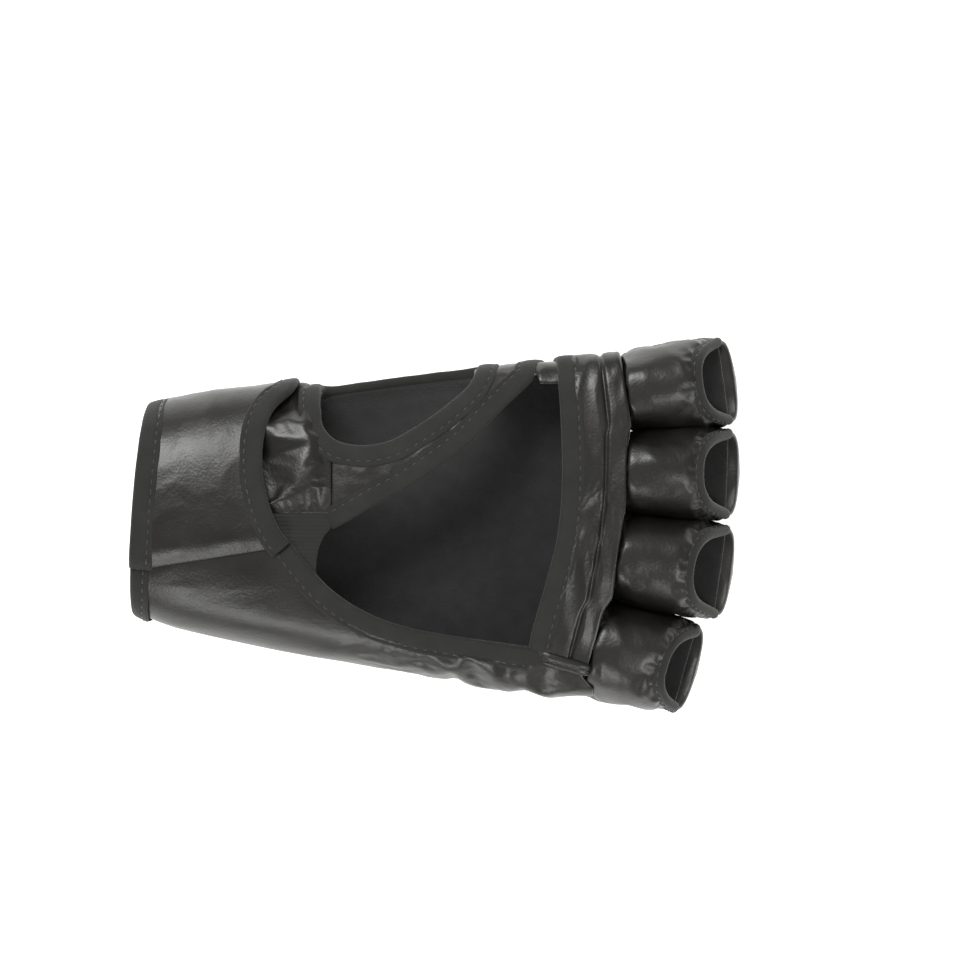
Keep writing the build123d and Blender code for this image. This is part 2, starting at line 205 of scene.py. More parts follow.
def turn_at(x, y, out=SHELL):
    """Turn at which the palm side of the form passes over a place in plan."""
    u = x / BODY_LENGTH
    across = half_width(u) + out
    v = np.clip((y - middle(u)) / across, -1.0, 1.0)
    z = (palm_rise(u) + out) * (1 - np.abs(v) ** roundness(u)) ** (1 / roundness(u))
    return np.arctan2(z, v * across)


def split_turn(x, side, out=SHELL):
    """Turn of the side seam, on the thumb side (1) or the little finger's side (-1)."""
    u = x / BODY_LENGTH
    dz = SPLIT_HEIGHT - height(u)
    depth = back_drop(u) + foam(u) + out
    y = (half_width(u) + out) * (1 - np.abs(dz / depth) ** roundness(u)) ** (1 / roundness(u))
    turn = np.arctan2(dz, side * y)
    return np.where(turn < -pi / 2, turn + 2 * pi, turn)


def smooth(points, count=240):
    """Points on a smooth curve through a few."""
    p = np.array(points, float)
    d = np.concatenate([[0], np.cumsum(np.linalg.norm(np.diff(p, axis=0), axis=1))])
    slope = np.gradient(p, d, axis=0)
    t = np.linspace(0, d[-1], count)
    k = np.clip(np.searchsorted(d, t, side="right") - 1, 0, len(d) - 2)
    gap = (d[k + 1] - d[k])[:, None]
    h = (t - d[k])[:, None] / gap
    return (
        (2 * h**3 - 3 * h**2 + 1) * p[k] + (h**3 - 2 * h**2 + h) * gap * slope[k]
        + (-2 * h**3 + 3 * h**2) * p[k + 1] + (h**3 - h**2) * gap * slope[k + 1]
    )


def plan(u, v):
    """Place in plan from a share of the body's length and a share of the half width there."""
    return (BODY_LENGTH * u, float(middle(u) + half_width(u) * v))


def edge(pairs):
    """Smooth curve in plan through pairs of shares."""
    return smooth([plan(u, v) for u, v in pairs])


def x_at(curve, y):
    """Where a curve in plan crosses y."""
    order = np.argsort(curve[:, 1])
    return np.interp(y, curve[order, 1], curve[order, 0])


def y_at(curve, x):
    """Where a curve in plan crosses x."""
    order = np.argsort(curve[:, 0])
    return np.interp(x, curve[order, 0], curve[order, 1])


wrist_edge, front_edge = edge(WRIST_EDGE), edge(FRONT_EDGE)
thumb_edge, palm_edge, bar_edge = edge(THUMB_EDGE), edge(PALM_EDGE), edge(BAR_EDGE)
ulnar_seam, gusset_edge, strap_seam = edge(ULNAR_SEAM), edge(GUSSET_EDGE), edge(STRAP_SEAM)
tail_wrist_side = edge([WRIST_EDGE[0], TAIL_END[0]])
tail_front_side = edge([FRONT_EDGE[0], TAIL_END[1]])
seam_slope = np.diff(strap_seam[[0, -1], 1])[0] / np.diff(strap_seam[[0, -1], 0])[0]


def seam_y(x):
    """The strap's seam on the palm, in plan."""
    return strap_seam[0, 1] + seam_slope * (x - strap_seam[0, 0])


# -------------------- mesh tools


def crease(points, grain, stretch=(1.0, 1.0, 1.0), seed=0.0):
    """Soft ridged noise at points in millimetres, from -1 to 1."""
    values = np.empty(len(points))
    for k, p in enumerate(points):
        q = Vector((p[0] * stretch[0], p[1] * stretch[1], p[2] * stretch[2])) / grain
        q.x += seed
        q.y += 0.7 * noise.noise(q * 0.6)
        values[k] = 1 - 2.2 * abs(noise.noise(q)) - 0.35 * abs(noise.noise(q * 2.3))
    return values


SIM_SCALE = 20.0  # the cloth solver works best on things about half a metre long


def rumple(piece, loose, growth, pressure, bending=2.5, frames=16, most=2.6):
    """Lets a sheet buckle as cloth a little too large for its seams; loose is 0 on seams and 1 inside."""
    before = np.empty(len(piece.data.vertices) * 3)
    piece.data.vertices.foreach_get("co", before)
    piece.data.vertices.foreach_set("co", before * SIM_SCALE)
    pins = piece.vertex_groups.new(name="seams")
    for k, share in enumerate(loose):
        if share < 0.999:
            pins.add([k], 1.0 - float(share), "REPLACE")
    cloth = piece.modifiers.new("cloth", "CLOTH")
    settings = cloth.settings
    settings.quality = 6
    settings.mass = 0.3
    settings.tension_stiffness = settings.compression_stiffness = 20.0
    settings.shear_stiffness = 8.0
    settings.bending_stiffness = bending
    settings.air_damping = 4.0
    settings.shrink_min = -growth
    settings.vertex_group_mass = "seams"
    settings.use_pressure = True
    settings.uniform_pressure_force = pressure
    settings.effector_weights.gravity = 0.0
    cloth.collision_settings.use_collision = False
    cloth.collision_settings.use_self_collision = False
    cloth.point_cache.frame_start, cloth.point_cache.frame_end = 1, frames
    for frame_number in range(1, frames + 1):
        bpy.context.scene.frame_set(frame_number)
    bpy.ops.object.modifier_apply(modifier="cloth")
    bpy.context.scene.frame_set(1)
    piece.vertex_groups.clear()
    after = np.empty_like(before)
    piece.data.vertices.foreach_get("co", after)
    moved = (after / SIM_SCALE - before).reshape(-1, 3)
    length = np.linalg.norm(moved, axis=1, keepdims=True) + 1e-9
    moved *= np.minimum(1.0, most * MM / length)
    piece.data.vertices.foreach_set("co", before + moved.ravel())
    piece.data.update()


def sheet(name, columns, rows, place, thickness=0.0, closed=False, cloth=None):
    """A grid laid by place(s, t), which gives points and outward directions; thickness goes inward.

    cloth holds the settings of rumple, with loose as a function of s and t.
    """
    bpy.ops.object.select_all(action="DESELECT")
    bpy.ops.mesh.primitive_grid_add(x_subdivisions=columns, y_subdivisions=rows, size=1)
    piece = bpy.context.object
    piece.name = piece.data.name = name
    count = len(piece.data.vertices)
    flat = np.empty(count * 3)
    piece.data.vertices.foreach_get("co", flat)
    flat = flat.reshape(-1, 3)
    points, outward = place(flat[:, 0] + 0.5, flat[:, 1] + 0.5)
    piece.data.vertices.foreach_set("co", (points * MM).ravel())
    piece.data.update()
    middle_face = piece.data.polygons[len(piece.data.polygons) // 2 + columns // 3]
    wanted = outward[middle_face.vertices[0]]
    if Vector(wanted).dot(middle_face.normal) < 0:
        piece.data.flip_normals()
    if closed:
        bpy.ops.object.mode_set(mode="EDIT")
        bpy.ops.mesh.select_all(action="SELECT")
        bpy.ops.mesh.remove_doubles(threshold=0.00002)
        bpy.ops.object.mode_set(mode="OBJECT")
    if cloth:
        loose, *settings = cloth
        rumple(piece, loose(flat[:, 0] + 0.5, flat[:, 1] + 0.5), *settings)
    if thickness:
        wall = piece.modifiers.new("wall", "SOLIDIFY")
        wall.thickness = thickness * MM
        wall.offset = -1.0
        wall.use_even_offset = False
    round_off = piece.modifiers.new("round", "SUBSURF")
    round_off.levels = round_off.render_levels = 1
    for modifier in list(piece.modifiers):
        bpy.ops.object.modifier_apply(modifier=modifier.name)
    bpy.ops.object.shade_smooth()
    return piece


def panel(name, size, where, outer, thickness, material, dents=None, padded=1.0, cloth=None):
    """A sewn panel: where(s, t) gives x and turn on the form, dents(s, t, points) its own relief."""

    def place(s, t):
        x, turn = where(s, t)
        offset = outer(t) if callable(outer) else outer
        share = padded(t) if callable(padded) else padded
        points = form_point(x, turn, offset, share)
        outward = form_normal(x, turn, offset, share)
        if dents is not None:
            points = points + outward * dents(s, t, points)[:, None]
        points[:, 2] = np.maximum(points[:, 2], LEAST_HEIGHT)
        return points, outward

    piece = sheet(name, *size, place, thickness, cloth=cloth)
    finish_with(piece, material)
    return piece


def finish_with(piece, material):
    piece.data.materials.clear()
    piece.data.materials.append(material)


def frames_along(points, normal, closed=False):
    """Points along an edge, with the directions along it, outward, and to its left."""
    if closed:
        along = unit(np.roll(points, -1, 0) - np.roll(points, 1, 0))
    else:
        along = unit(np.gradient(points, axis=0))
    return points, along, normal, unit(np.cross(normal, along))


def edge_frames(x, turn, outer, closed=False):
    """The same along an edge on the form."""
    return frames_along(form_point(x, turn, outer), form_normal(x, turn, outer), closed)


def even(points, step, closed=False):
    """Fractional places along a run of points, a step apart."""
    run = np.vstack([points, points[:1]]) if closed else points
    d = np.concatenate([[0], np.cumsum(np.linalg.norm(np.diff(run, axis=0), axis=1))])
    count = max(int(round(d[-1] / step)), 2)
    return np.interp(np.linspace(0, d[-1], count + 1), d, np.arange(len(run)))


def at_places(values, places, closed=False):
    """Values between those of a run, at fractional places."""
    run = np.concatenate([values, values[:1]]) if closed else values
    k = np.clip(places.astype(int), 0, len(run) - 2)
    h = (places - k).reshape(-1, *[1] * (run.ndim - 1))
    return run[k] * (1 - h) + run[k + 1] * h


def tape_section(width, under):
    """Profile of a folded tape: across from the covered edge, and height over the leather."""
    return np.array([
        (width * 0.5, -under - 0.5), (width * 0.2, -under - 0.55), (-0.3, -under - 0.35),
        (-0.95, -under * 0.5), (-0.75, 0.25), (-0.1, 0.8), (1.0, 1.0), (width - 2.9, 0.95),
        (width - 2.2, 0.8), (width - THREAD_INSET, 0.42), (width - 1.3, 0.72), (width - 0.6, 0.7),
        (width - 0.1, 0.45), (width, -0.15),
    ])


def tape(name, frames, width, under, material, side=1, closed=False, lift=0.0, tuck=1.2):
    """Folded edge tape swept along an edge; side 1 covers what lies to the left of the way it runs."""
    points, along, normal, left = frames
    places = even(points, TAPE_STEP, closed)
    p, n, l = (at_places(v, places, closed) for v in (points, normal, left))
    section = tape_section(width, under)
    ripple = crease(p, 11.0, seed=3.0)
    from_end = np.minimum(np.arange(len(p)), np.arange(len(p))[::-1]) * TAPE_STEP
    dip = np.zeros(len(p)) if closed else tuck * np.exp(-((from_end / 1.9) ** 2))
    p = p - n * dip[:, None]

    def place(s, t):
        k = np.rint(s * (len(places) - 1)).astype(int)
        j = np.rint(t * (len(section) - 1)).astype(int)
        a = section[j, 0] + np.where(section[j, 0] > 1.5, 0.22 * ripple[k], 0.1 * ripple[k])
        h = section[j, 1] + lift + np.where(section[j, 1] > 0.1, 0.16 * ripple[k], 0.0)
        placed = p[k] + l[k] * (side * a)[:, None] + n[k] * h[:, None]
        middle_of = p[k] + l[k] * (side * width / 2) - n[k] * (under / 2)
        placed[:, 2] = np.maximum(placed[:, 2], LEAST_HEIGHT)
        return placed, placed - middle_of

    piece = sheet(name, len(places) - 1, len(section) - 1, place, closed=closed)
    finish_with(piece, material)
    stitches.append((name, p + l * side * (width - THREAD_INSET) + n * (0.5 + lift), n, closed))
    return piece


def sew(name, points, normal, material, pitch=3.3, closed=False):
    """A row of stitches, each a short bulged thread that dips into the leather at both ends."""
    places = even(points, pitch, closed)
    ends = places[:-1] if closed else places[1:-1]
    half = 0.36 * pitch
    # Along, as a share of half; radius; height over the tape
    rings = [
        (-1.0, 0.12, -0.35), (-0.6, 0.27, 0.05), (0.0, 0.31, 0.16), (0.6, 0.27, 0.05), (1.0, 0.12, -0.35),
    ]
    sides = 6
    centre, up = at_places(points, ends, closed), at_places(normal, ends, closed)
    ahead = at_places(points, np.minimum(ends + 0.02, len(points) - 1 + closed), closed) - centre
    behind = centre - at_places(points, np.maximum(ends - 0.02, 0), closed)
    along = ahead + behind
    along /= np.linalg.norm(along, axis=1, keepdims=True) + 1e-9
    across = np.cross(up, along)
    vertices, faces = [], []
    for c, a, b, n in zip(centre, along, across, up):
        start = len(vertices)
        for offset, radius, lift in rings:
            for k in range(sides):
                turn = 2 * pi * k / sides
                v = c + a * (offset * half) + b * (radius * cos(turn)) + n * (lift + radius * sin(turn))
                vertices.append(v * MM)
        for ring in range(len(rings) - 1):
            for k in range(sides):
                m = (k + 1) % sides
                one = start + ring * sides
                faces.append((one + k, one + m, one + sides + m, one + sides + k))
        faces.append([start + k for k in range(sides)][::-1])
        faces.append([start + (len(rings) - 1) * sides + k for k in range(sides)])
    mesh = bpy.data.meshes.new(name)
    mesh.from_pydata(vertices, [], faces)
    mesh.flip_normals()
    piece = bpy.data.objects.new(name, mesh)
    bpy.context.scene.collection.objects.link(piece)
    for polygon in mesh.polygons:
        polygon.use_smooth = True
    finish_with(piece, material)
    return piece


# -------------------- materials


def linear(code):
    """Linear colour of an sRGB hex value."""
    channels = [int(code[k : k + 2], 16) / 255 for k in (1, 3, 5)]
    return [c / 12.92 if c <= 0.04045 else ((c + 0.055) / 1.055) ** 2.4 for c in channels] + [1.0]


def node(tree, kind, settings=None, inputs=None):
    """Adds a node with its settings; an input is a value, or an output of another node."""
    made = tree.nodes.new(kind)
    for key, value in (settings or {}).items():
        setattr(made, key, value)
    for key, value in (inputs or {}).items():
        if isinstance(value, bpy.types.NodeSocket):
            tree.links.new(value, made.inputs[key])
        else:
            made.inputs[key].default_value = value
    return made


def new_material(name, roughness, **settings):
    """A material with its tree, its shader and the texture coordinates of its object."""
    material = bpy.data.materials.new(name)
    material.use_nodes = True
    shader = material.node_tree.nodes["Principled BSDF"]
    shader.inputs["Roughness"].default_value = roughness
    for key, value in settings.items():
        shader.inputs[key.replace("_", " ")].default_value = value
    place = node(material.node_tree, "ShaderNodeTexCoord").outputs["Object"]
    return material, material.node_tree, shader, place


def ramp(tree, shader, value, stops):
    """Base colour from a ramp whose stops are (position, hex colour)."""
    made = node(tree, "ShaderNodeValToRGB", inputs={"Fac": value})
    elements = made.color_ramp.elements
    while len(elements) < len(stops):
        elements.new(0.5)
    for element, (position, code) in zip(elements, stops):
        element.position = position
        element.color = linear(code)
    tree.links.new(made.outputs["Color"], shader.inputs["Base Color"])


def bumped(tree, shader, heights):
    """Stacks bumps, each (height output, strength, distance in millimetres)."""
    normal = None
    for value, strength, distance in heights:
        inputs = {"Strength": strength, "Distance": distance * MM, "Height": value}
        if normal is not None:
            inputs["Normal"] = normal
        normal = node(tree, "ShaderNodeBump", inputs=inputs).outputs["Normal"]
    tree.links.new(normal, shader.inputs["Normal"])


def scaled(tree, place, millimetres):
    """Texture scale whose cell is that many millimetres."""
    return {"Vector": place, "Scale": 1 / (millimetres * MM)}


def ranged(tree, value, low, high):
    """A value from 0 to 1, laid between low and high."""
    made = node(tree, "ShaderNodeMapRange", inputs={"Value": value, "To Min": low, "To Max": high})
    return made.outputs["Result"]


def pu_leather():
    """Polyurethane-coated leather cloth, embossed: a soft wet gloss broken by fine pebbles and creases."""
    material, tree, shader, place = new_material(
        "pu_coated_leather_cloth", 0.36, Coat_Weight=0.12, Coat_Roughness=0.28
    )
    # Pebbles are about 0.5 mm across; drawn at 0.8 mm, so that they show.
    pebbles = node(tree, "ShaderNodeTexVoronoi", {"feature": "SMOOTH_F1"}, scaled(tree, place, 0.8))
    pores = node(tree, "ShaderNodeTexNoise", inputs={**scaled(tree, place, 1.4), "Detail": 6.0})
    rubs = node(tree, "ShaderNodeTexNoise", inputs={**scaled(tree, place, 16.0), "Detail": 5.0})
    lines = node(
        tree, "ShaderNodeTexNoise",
        inputs={**scaled(tree, place, 7.0), "Detail": 4.0, "Distortion": 0.9},
    )
    ramp(tree, shader, rubs.outputs["Fac"], [(0.3, "#0a0908"), (0.55, "#110f0d"), (0.78, "#1a1815")])
    tree.links.new(ranged(tree, rubs.outputs["Fac"], 0.27, 0.5), shader.inputs["Roughness"])
    bumped(tree, shader, [
        (lines.outputs["Fac"], 0.16, 0.9),
        (pores.outputs["Fac"], 0.2, 0.16),
        (pebbles.outputs["Distance"], 0.32, 0.16),
    ])
    return material


def binding_tape():
    """Brushed polyester edge tape: matte, dark grey, with a faint rib across it."""
    material, tree, shader, place = new_material(
        "polyester_binding_tape", 0.82, Sheen_Weight=0.1, Sheen_Roughness=0.5
    )
    # Yarns lie 0.45 mm apart; drawn 0.6 mm apart.
    weave = node(tree, "ShaderNodeTexVoronoi", {"distance": "MANHATTAN"}, scaled(tree, place, 0.6))
    fuzz = node(tree, "ShaderNodeTexNoise", inputs={**scaled(tree, place, 0.35), "Detail": 3.0})
    tone = node(tree, "ShaderNodeTexNoise", inputs={**scaled(tree, place, 9.0), "Detail": 5.0})
    ramp(tree, shader, tone.outputs["Fac"], [(0.3, "#0f0f0c"), (0.55, "#161613"), (0.8, "#1e1e19")])
    bumped(tree, shader, [(weave.outputs["Distance"], 0.35, 0.18), (fuzz.outputs["Fac"], 0.3, 0.1)])
    return material


def lining_knit():
    """Brushed polyester knit: soft, lightless, with fine loops."""
    material, tree, shader, place = new_material(
        "brushed_polyester_knit", 0.95, Sheen_Weight=0.3, Sheen_Roughness=0.6
    )
    loops = node(tree, "ShaderNodeTexVoronoi", inputs=scaled(tree, place, 0.9))
    nap = node(tree, "ShaderNodeTexNoise", inputs={**scaled(tree, place, 5.0), "Detail": 6.0})
    ramp(tree, shader, nap.outputs["Fac"], [(0.3, "#101011"), (0.7, "#1b1b1c")])
    bumped(tree, shader, [(loops.outputs["Distance"], 0.6, 0.3), (nap.outputs["Fac"], 0.3, 0.6)])
    return material


def ribbed_elastic():
    """Woven elastic: cords of rubber under yarn, which make even ribs 1.3 mm apart."""
    material, tree, shader, place = new_material("woven_ribbed_elastic", 0.8, Sheen_Weight=0.2)
    ribs = node(
        tree, "ShaderNodeTexWave", {"bands_direction": "Y"},
        {"Vector": place, "Scale": 0.314 / (1.3 * MM), "Distortion": 0.3},
    )
    ramp(tree, shader, ribs.outputs["Fac"], [(0.1, "#060606"), (0.9, "#0e0e0d")])
    bumped(tree, shader, [(ribs.outputs["Fac"], 0.35, 0.25)])
    return material


def fastener(name, cell, low, high):
    """Nylon touch fastener: a dense pile of loops or hooks, matte with tiny glints."""
    material, tree, shader, place = new_material(name, 0.7, Sheen_Weight=0.5, Sheen_Roughness=0.4)
    pile = node(tree, "ShaderNodeTexVoronoi", inputs=scaled(tree, place, cell))
    ramp(tree, shader, pile.outputs["Distance"], [(0.05, high), (0.6, low)])
    bumped(tree, shader, [(pile.outputs["Distance"], 1.0, 0.5)])
    return material


def sewing_thread():
    """Twisted polyester thread: slightly lighter than the tape, with a soft twist glint."""
    material, tree, shader, place = new_material("twisted_polyester_thread", 0.5, Sheen_Weight=0.2)
    twist = node(tree, "ShaderNodeTexNoise", inputs={**scaled(tree, place, 0.4), "Detail": 2.0})
    ramp(tree, shader, twist.outputs["Fac"], [(0.35, "#1c1c1a"), (0.65, "#2b2b28")])
    bumped(tree, shader, [(twist.outputs["Fac"], 0.5, 0.1)])
    return material


leather, tape_cloth, knit = pu_leather(), binding_tape(), lining_knit()
elastic, thread = ribbed_elastic(), sewing_thread()
loop_pile = fastener("nylon_loop_pile", 0.7, "#141414", "#2e2e2e")
hook_pile = fastener("nylon_hook_pile", 1.1, "#101010", "#3a3a3a")
stitches = []  # rows to sew: (tape, points, directions, closed)


def settle(piece, body, slot, *nodes):
    """Says what a piece rides on and which frame nodes it stands for; slot, meant for its finish, is not
    used.
    """
    if isinstance(body, str):
        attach(piece, body)
    else:
        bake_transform(piece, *body)
    if nodes:
        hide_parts(*nodes)
    return piece


# -------------------- reliefs of the panels


def hem(s, t, reach=0.05, sides="lrbt"):
    """0 on the panel's edges, rising to 1 inside it."""
    value = np.ones_like(s)
    if "l" in sides:
        value = np.minimum(value, s / reach)
    if "r" in sides:
        value = np.minimum(value, (1 - s) / reach)
    if "b" in sides:
        value = np.minimum(value, t / reach)
    if "t" in sides:
        value = np.minimum(value, (1 - t) / reach)
    return ease(value)


def creases(amount, grain, stretch=(1, 1, 1), seed=0.0, puff=0.0, sides="lrbt", reach=0.08):
    """Relief of creases of that depth, with the panel puffed between its seams."""

    def dents(s, t, points):
        inside = hem(s, t, reach, sides)
        return inside * (puff + amount * crease(points, grain, stretch, seed)) - 0.25 * (1 - inside)

    return dents


# -------------------- the body


def mix(a, b, s):
    """From a, where s is 0, to b, where s is 1."""
    return a + (b - a) * s


def between(x_low, x_high, turn_low, turn_high):
    """Area between two edges along the glove and two turns, each a function of the other value."""

    def where(s, t):
        x = mix(40.0, 150.0, s)
        for _ in range(5):
            turn = mix(turn_low(x), turn_high(x), t)
            y = form_point(x, turn, SHELL)[:, 1]
            x = mix(x_low(y, turn), x_high(y, turn), s)
        return x, turn

    return where


def roots_x(y):
    """Line across the finger roots."""
    points = []
    for u, v, splay, _ in FINGERS.values():
        x, y0 = plan(u, v)
        across = Vector((-sin(radians(splay)), cos(radians(splay))))
        for half in (12.5, -12.5):
            points.append((x + across.x * half, y0 + across.y * half))
    points = np.array(points)
    return np.interp(y, points[::-1, 1], points[::-1, 0])


def wrist_x(y, turn=None):
    """The panels' end at the wrist edge, under its tape."""
    return x_at(wrist_edge, y) + 1.0


def lining_panel(name, size, where, dents=None, padded=1.0):
    """A panel of the body's lining, which stands for the node of its name."""
    piece = panel(name, size, where, LINING, LINING_WALL, knit, dents, padded)
    settle(piece, "glove", "lining", name)


def body_pieces():
    """Back shell, palm-side panels and linings that the strap and the fingers join."""
    thumb_side = lambda x: split_turn(x, 1)
    ulnar_side = lambda x: split_turn(x, -1)

    # Back shell: quilted in rows over the knuckle padding
    rows = np.array([0.30, 0.47, 0.62, 0.745, 0.87, 1.0]) * BODY_LENGTH

    def quilt(s, t, points):
        x = points[:, 0] + ORIGIN
        k = np.clip(np.searchsorted(rows, x) - 1, 0, len(rows) - 2)
        share = np.clip((x - rows[k]) / (rows[k + 1] - rows[k]), 0, 1)
        crown = (4 * share * (1 - share)) ** 0.55
        crown = np.where(x < rows[0], 0.6, crown)
        under = np.clip((SPLIT_HEIGHT - points[:, 2]) / 8, 0, 1)
        small = crease(points, 13.0, (0.8, 1.3, 1.0), 5.0)
        return under * (1.9 * crown - 1.2) + 0.3 * small * hem(s, t, 0.04)

    def back(s, t):
        x = mix(2.0, 162.0, s)
        for _ in range(5):
            turn = mix(ulnar_side(x), thumb_side(x) + 2 * pi, t)
            y = form_point(x, turn, SHELL)[:, 1]
            x = mix(wrist_x(y), roots_x(y) - ROOT_MARGIN, s)
        return x, turn

    shell = panel("back_shell", (120, 96), back, SHELL, LEATHER_WALL, leather, quilt)
    settle(shell, "glove", "leather", "back_shell", "back_foam", "knuckle_foam")
    flared = lambda t: np.clip(np.abs(t - 0.5) * 2 - 0.86, 0, 1) / 0.14
    lining_panel("back_lining", (70, 72), back, creases(0.25, 15.0), flared)

    # Ulnar panel, from the wrist to the little finger
    start = x_at(front_edge, -6.4)

    def ulnar_top(x):
        low_edge = y_at(front_edge[front_edge[:, 1] < 2], x)
        tucked = seam_y(x) + 3.2 * np.clip((start - 3.0 - x) / 5, 0, 1)
        y = np.where(x < start, tucked, np.where(x < 132, low_edge, y_at(ulnar_seam, x)))
        inset = np.clip((x - start) / 12, 0, 1) * np.clip((140 - x) / 10, 0, 1) * 1.5
        return turn_at(x, y - inset)

    def ulnar(s, t):
        x = mix(2.0, 160.0, s)
        for _ in range(5):
            turn = mix(ulnar_top(x), ulnar_side(x), t)
            y = form_point(x, turn, SHELL)[:, 1]
            past_root = 4.5 * np.clip((-49 - y) / 5, 0, 1)
            x = mix(wrist_x(y), roots_x(y) - ROOT_MARGIN + past_root, s)
        return x, turn

    def ulnar_dents(s, t, points):
        near_finger = np.clip((s - 0.62) / 0.3, 0, 1)
        folds = crease(points, 9.0, (1.2, 0.5, 0.5), 11.0)
        long_folds = crease(points, 22.0, (0.35, 1.3, 1.3), 2.0)
        inside = hem(s, t, 0.1)
        return inside * (0.5 + 0.8 * near_finger * folds + 0.6 * long_folds) - 0.3 * (1 - inside)

    piece = panel(
        "ulnar_panel", (130, 44), ulnar, SHELL, LEATHER_WALL, leather, ulnar_dents,
        cloth=(lambda s, t: hem(s, t, 0.12) * np.clip((s - 0.4) / 0.4, 0, 1), 0.012, 0.5, 60.0),
    )
    settle(piece, "glove", "leather", "ulnar_panel")
    lining_panel("ulnar_lining", (90, 20), ulnar)

    # Radial panel, which comes out from under the strap and ends at the thumb hole
    def radial_end(y, turn):
        return np.interp(y, [20, 25, 28.5, 32, 40], [66.9, 66.9, 66.2, 64.0, 62.4])

    radial = between(wrist_x, radial_end, thumb_side, lambda x: turn_at(x, np.full_like(x, 4.0)))

    def radial_dents(s, t, points):
        folds = crease(points, 11.0, (0.45, 1.3, 1.0), 7.0)
        inside = hem(s, t, 0.08)
        return inside * (0.4 + 0.85 * folds) - 0.2 * (1 - inside)

    piece = panel(
        "radial_panel", (60, 60), radial, SHELL, LEATHER_WALL, leather, radial_dents,
        cloth=(lambda s, t: hem(s, t, 0.1), 0.035, 0.0),
    )
    settle(piece, "glove", "leather", "radial_panel")
    lining_panel("radial_lining", (40, 40), radial)

    # Elastic tab between the radial and the ulnar panel
    tab = between(
        lambda y, turn: np.full_like(y, 30.0),
        lambda y, turn: x_at(gusset_edge, y),
        lambda x: turn_at(x, np.full_like(x, 9.0), 2.0),
        lambda x: turn_at(x, np.minimum(seam_y(x), ulnar_panel_y(x)) - 2.0, 2.0),
    )

    def gathers(s, t, points):
        return 0.5 * crease(points, 5.0, (0.3, 1.5, 1.0), 4.0) * hem(s, t, 0.05)

    piece = panel("wrist_gusset", (44, 36), tab, 2.1, 1.2, elastic, gathers)
    settle(piece, "glove", "elastic", "wrist_gusset")

    # Thumb strap: its leather shows between its two tapes only near the wrist
    def crossing(s, t):
        x = mix(66.5, 133.5, s)
        thumb_line = np.where(x < 115, y_at(thumb_edge, x), 60.0) - 3.0
        palm_line = y_at(palm_edge, x) + 3.0
        high = np.maximum(thumb_line, palm_line + 1.0)
        y = mix(palm_line, high, t)
        return x, turn_at(x, y)

    folds = creases(0.4, 8.0, puff=0.2)
    piece = panel("thumb_strap", (56, 16), crossing, SHELL, LEATHER_WALL, leather, folds)
    settle(piece, "glove", "leather", "thumb_strap")
    lining_panel("thumb_strap_lining", (40, 10), crossing)

    # Side wall from the thumb hole to the roots, on the index finger's side
    def side_wall(s, t):
        x = mix(113.0, 150.0, s)
        low = thumb_side(x)
        high = turn_at(x, np.where(x < 134, y_at(palm_edge, x), 47.0))
        return x, mix(low, np.maximum(high, low + 0.15), t)

    folds = creases(0.4, 9.0, seed=9.0)
    piece = panel("side_wall", (40, 22), side_wall, SHELL - 0.2, LEATHER_WALL, leather, folds)
    settle(piece, "glove", "leather")

    # Palm bar across the finger roots
    bar_x = lambda y, turn: x_at(bar_edge, y) + 2.0
    root_band_x = lambda y, turn: roots_x(y) + 0.3
    bar = between(bar_x, root_band_x, thumb_side, lambda x: turn_at(x, y_at(ulnar_seam, x) - 1.2))

    def bar_dents(s, t, points):
        seam = np.exp(-(((s - 0.62) / 0.035) ** 2))
        folds = crease(points, 8.0, (1.3, 0.55, 0.8), 15.0)
        return hem(s, t, 0.05) * (0.5 + 0.5 * folds) - 0.9 * seam

    piece = panel("palm_bar", (44, 120), bar, SHELL + 0.35, 1.7, leather, bar_dents)
    settle(piece, "glove", "leather", "palm_bar", "finger_root_band")
    lining_panel("palm_bar_lining", (20, 80), bar)


def ulnar_panel_y(x):
    """The ulnar panel's upper edge in plan, where the front edge bounds it."""
    return y_at(front_edge[front_edge[:, 1] < 4], x)


def to_side_seam(run, end_x):
    """x and turn along an edge in plan, carried on from its last point to the thumb side's seam."""
    down = np.linspace(0, 1, 30)[1:]
    turn = turn_at(*run.T)
    low = split_turn(np.array([end_x]), 1)[0]
    return (
        np.concatenate([run[:, 0], mix(run[-1, 0], end_x, down)]),
        np.concatenate([turn, mix(turn[-1], low, down)]),
    )


def body_tape(name, frames, width, under, side, closed=False, lift=0.0):
    """A tape on the body's edge, which stands for the node of its name."""
    piece = tape(name, frames, width, under, tape_cloth, side, closed, lift)
    settle(piece, "glove", "binding_tape", name)


